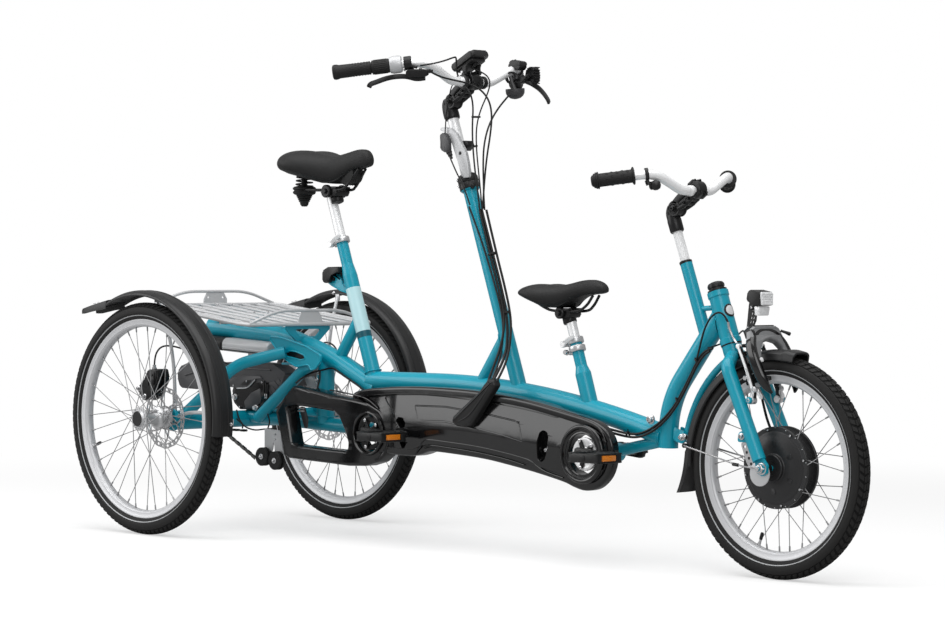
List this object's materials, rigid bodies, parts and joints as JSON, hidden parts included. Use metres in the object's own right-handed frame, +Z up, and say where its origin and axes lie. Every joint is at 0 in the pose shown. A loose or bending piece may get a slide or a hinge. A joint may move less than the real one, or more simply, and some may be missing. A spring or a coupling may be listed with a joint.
{
  "type": "tandem tricycle",
  "caption": "Tandem tricycle for an adult behind and a child in front: steered front wheel with a hub motor, rear handlebar linked to the fork, enclosed chains and a luggage rack.",
  "frame": {"origin": "on the floor under the middle of the overall length", "axes": "+X forward, +Y to its left, +Z up"},
  "size_m": [2.3819, 0.75, 1.2371],
  "materials": {
    "teal_paint": "gloss",
    "tyre_rubber": "matte",
    "bright_aluminium": "satin",
    "grey_paint": "satin",
    "silver_case": "satin",
    "gloss_black": "gloss",
    "black_rubber": "matte",
    "saddle_cover": "matte",
    "motor_black": "satin",
    "black_metal": "satin",
    "black_plastic": "satin"
  },
  "bodies": {
    "frame": {"axle_housing": "teal_paint", "battery": "silver_case", "brake_calipers": "black_metal", "brake_hoses": "black_rubber", "cable_guide": "black_rubber", "chain_stay": "teal_paint", "chain_tensioner": "black_metal", "child_bar": "bright_aluminium", "child_bar_tube": "teal_paint", "child_grips": "black_rubber", "child_stem": "black_metal", "down_tube": "teal_paint", "front_bracket": "teal_paint", "front_cables": "black_rubber", "front_saddle": "saddle_cover", "front_seat_tube": "teal_paint", "gear_unit": "black_plastic", "head_tube": "teal_paint", "long_chaincase": "gloss_black", "main_tube": "teal_paint", "mast_cables": "black_rubber", "mudguard_stays": "grey_paint", "rack": "grey_paint", "rack_brackets": "teal_paint", "rear_chaincase": "gloss_black", "rear_lamp": "black_plastic", "rear_mudguards": "black_plastic", "rear_saddle": "saddle_cover", "rear_seat_tube": "teal_paint", "rear_spine": "teal_paint", "rear_stays": "teal_paint", "saddle_clamps": "black_plastic", "seatposts": "bright_aluminium", "steering_mast": "teal_paint"},
    "fork": {"fork": "teal_paint", "steering_cap": "black_plastic", "steering_arm": "teal_paint", "front_mudguard": "black_plastic", "headlamp": "black_plastic", "ring_lock": "black_plastic", "front_brake": "black_metal"},
    "front_wheel": {"front_tyre": "tyre_rubber", "front_rim": "bright_aluminium", "hub_motor": "motor_black"},
    "rear_handlebar": {"rear_bar": "bright_aluminium", "rear_grips": "black_rubber", "rear_stem": "black_metal", "bar_controls": "black_plastic", "bar_cables": "black_rubber"},
    "right_rear_wheel": {"right_tyre": "tyre_rubber", "right_wheel": "bright_aluminium"},
    "left_rear_wheel": {"left_tyre": "tyre_rubber", "left_wheel": "bright_aluminium"},
    "rear_cranks": {"rear_crank": "black_metal"},
    "front_cranks": {"front_crank": "black_metal"},
    "rear_right_pedal": {"rear_right_pedal": "black_plastic"},
    "rear_left_pedal": {"rear_left_pedal": "black_plastic"},
    "front_right_pedal": {"front_right_pedal": "black_plastic"},
    "front_left_pedal": {"front_left_pedal": "black_plastic"}
  },
  "joints": [
    {"name": "steering", "type": "hinge", "parent": "frame", "child": "fork", "pos_m": [0.799, 0, 0.522], "axis": [-0.3371, 0, 0.9415], "range_deg": [-40, 40]},
    {"name": "handlebar_steering", "type": "hinge", "parent": "frame", "child": "rear_handlebar", "pos_m": [0.121, 0, 0.415], "axis": [-0.3371, 0, 0.9415], "range_deg": [-40, 40]},
    {"name": "front_wheel_spin", "type": "hinge", "parent": "fork", "child": "front_wheel", "pos_m": [0.941, 0, 0.25], "axis": [0, 1, 0], "continuous": true},
    {"name": "right_wheel_spin", "type": "hinge", "parent": "frame", "child": "right_rear_wheel", "pos_m": [-0.891, -0.3437, 0.3], "axis": [0, 1, 0], "continuous": true},
    {"name": "left_wheel_spin", "type": "hinge", "parent": "frame", "child": "left_rear_wheel", "pos_m": [-0.891, 0.3437, 0.3], "axis": [0, 1, 0], "continuous": true},
    {"name": "rear_crank_turn", "type": "hinge", "parent": "frame", "child": "rear_cranks", "pos_m": [-0.32, 0, 0.276], "axis": [0, 1, 0], "continuous": true},
    {"name": "front_crank_turn", "type": "hinge", "parent": "frame", "child": "front_cranks", "pos_m": [0.423, 0, 0.259], "axis": [0, 1, 0], "continuous": true},
    {"name": "rear_right_pedal_turn", "type": "hinge", "parent": "rear_cranks", "child": "rear_right_pedal", "pos_m": [-0.198, -0.157, 0.276], "axis": [0, 1, 0], "continuous": true},
    {"name": "rear_left_pedal_turn", "type": "hinge", "parent": "rear_cranks", "child": "rear_left_pedal", "pos_m": [-0.442, 0.157, 0.276], "axis": [0, 1, 0], "continuous": true},
    {"name": "front_right_pedal_turn", "type": "hinge", "parent": "front_cranks", "child": "front_right_pedal", "pos_m": [0.525, -0.157, 0.259], "axis": [0, 1, 0], "continuous": true},
    {"name": "front_left_pedal_turn", "type": "hinge", "parent": "front_cranks", "child": "front_left_pedal", "pos_m": [0.321, 0.157, 0.259], "axis": [0, 1, 0], "continuous": true}
  ],
  "couplings": [
    {"joint": "handlebar_steering", "follows": "steering", "ratio": 1},
    {"joint": "front_crank_turn", "follows": "rear_crank_turn", "ratio": 1}
  ]
}
